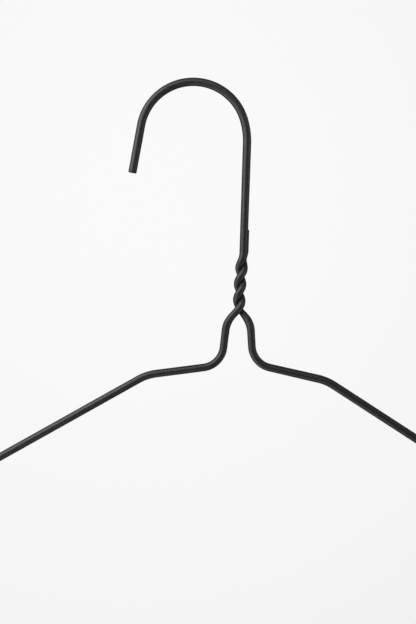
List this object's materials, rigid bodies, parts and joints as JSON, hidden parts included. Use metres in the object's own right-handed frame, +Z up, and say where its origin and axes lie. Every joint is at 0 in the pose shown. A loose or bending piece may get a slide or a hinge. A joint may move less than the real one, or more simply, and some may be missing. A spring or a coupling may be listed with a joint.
{
  "type": "clothes hanger",
  "caption": "Wire clothes hanger with a black plastic coating: an open hook, a twisted neck, kinked sloping shoulders and a straight bottom bar for trousers.",
  "frame": {"origin": "underside of the hook's bow at its crown, where the rail bears", "axes": "+Z up, +X along the shoulders to the side that the hook's mouth doesn't face, -Y to the viewer; the flat frame lies in the XZ plane"},
  "size_m": [0.42, 0.0065, 0.2374],
  "materials": {
    "steel": "drawn steel wire, hidden under the coating",
    "coating": "satin black dipped coating with a faint orange peel"
  },
  "bodies": {
    "root": {"steel_wire": "steel", "hook_tip_coating": "coating", "hook_bow_coating": "coating", "shank_bend_coating": "coating", "shank_coating": "coating", "neck_coating": "coating", "left_leg_bend_coating": "coating", "right_leg_bend_coating": "coating", "left_shoulder_coating": "coating", "right_shoulder_coating": "coating", "left_kink_coating": "coating", "right_kink_coating": "coating", "left_arm_coating": "coating", "right_arm_coating": "coating", "left_corner_coating": "coating", "right_corner_coating": "coating", "bottom_bar_coating": "coating"}
  },
  "joints": []
}
